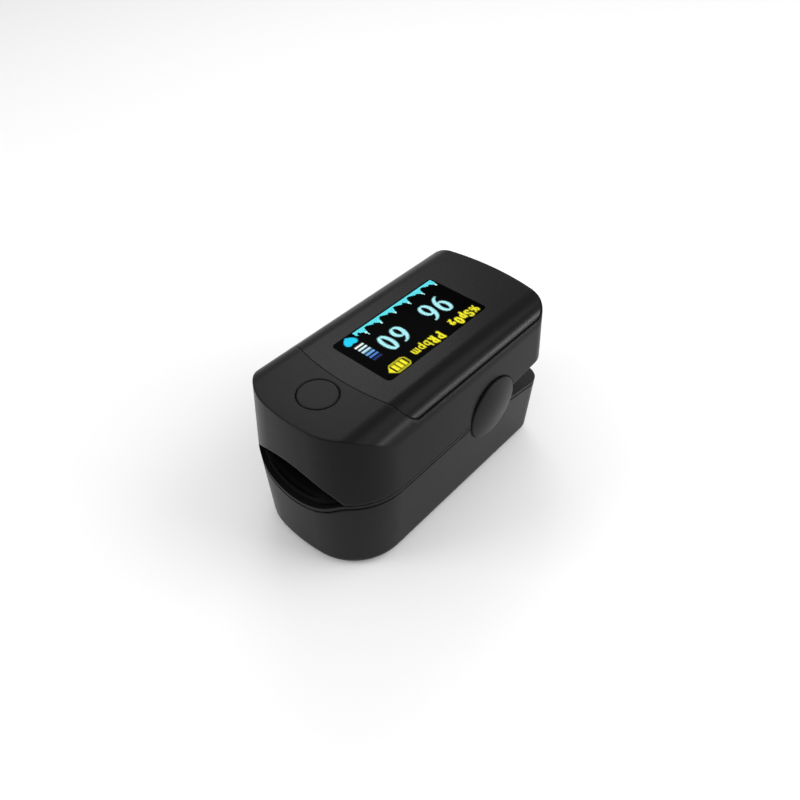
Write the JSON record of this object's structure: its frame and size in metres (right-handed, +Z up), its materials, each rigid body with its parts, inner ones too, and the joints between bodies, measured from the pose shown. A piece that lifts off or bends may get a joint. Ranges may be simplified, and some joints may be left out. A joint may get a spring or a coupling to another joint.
{
  "type": "fingertip pulse oximeter",
  "caption": "Clip-on fingertip pulse oximeter: two sprung plastic jaws on a side hinge, lined finger tunnel, top display under a flush cover, round power button, sliding battery door.",
  "frame": {"origin": "centre of the base on the surface that the object rests on, midway between front and rear ends", "axes": "+Z up, finger opening at -Y, squeeze end at +Y, +X to the right of a reader facing +Y"},
  "size_m": [0.036, 0.0636, 0.0372],
  "materials": {
    "shell_plastic": "satin",
    "cover_plastic": "satin",
    "lens_plastic": "gloss",
    "frame_plastic": "satin",
    "white_plastic": "matte",
    "silicone": "matte",
    "board": "satin",
    "chip": "matte",
    "switch_metal": "satin",
    "emitter_resin": "gloss",
    "clear_window": "gloss",
    "display_glass": "gloss",
    "polyimide": "satin",
    "cell_jacket": "satin",
    "contact_nickel": "satin",
    "steel": "satin",
    "screw_steel": "satin"
  },
  "bodies": {
    "lower_half": {"lower_shell": "shell_plastic", "lower_frame": "frame_plastic", "lower_pad": "silicone", "sensor_board": "board", "photodetector": "chip", "lower_sensor_window": "clear_window", "battery_holder": "frame_plastic", "battery_cell_left": "cell_jacket", "battery_cell_right": "cell_jacket", "contact_front_left": "contact_nickel", "contact_front_right": "contact_nickel", "contact_bridge": "contact_nickel", "cell_spring_left": "contact_nickel", "cell_spring_right": "contact_nickel", "hinge_cap_left": "shell_plastic", "hinge_cap_right": "shell_plastic", "hinge_pin_left": "steel", "hinge_pin_right": "steel", "torsion_spring_left": "steel", "torsion_spring_right": "steel", "ribbon_cable": "polyimide", "lower_screws": "screw_steel"},
    "upper_half": {"upper_shell": "shell_plastic", "display_cover": "cover_plastic", "display_lens": "lens_plastic", "oled_module": "display_glass", "display_holder": "white_plastic", "display_ribbon": "polyimide", "main_board": "board", "controller_chip": "chip", "analog_chip": "chip", "tact_switch": "switch_metal", "upper_frame": "frame_plastic", "upper_pad": "silicone", "upper_sensor_window": "clear_window", "emitter_board": "board", "emitter": "emitter_resin", "upper_screws": "screw_steel"},
    "button": {"power_button": "shell_plastic", "switch_plunger": "white_plastic"},
    "battery_door": {"battery_door": "shell_plastic"}
  },
  "joints": [
    {"name": "jaw_hinge", "type": "hinge", "parent": "lower_half", "child": "upper_half", "pos_m": [0, 0.01, 0.02075], "axis": [-1, 0, 0], "range_deg": [0, 15], "stiffness_Nm_per_rad": 0.1, "springref_deg": -34.38, "deforming": ["torsion_spring_left", "torsion_spring_right", "ribbon_cable"]},
    {"name": "button_press", "type": "slide", "parent": "upper_half", "child": "button", "axis": [0, 0, -1], "range_m": [0, 0.00035], "stiffness_N_per_m": 1500, "springref_m": -0.0003},
    {"name": "battery_door_slide", "type": "slide", "parent": "lower_half", "child": "battery_door", "axis": [0, 1, 0], "range_m": [0, 0.008]}
  ]
}
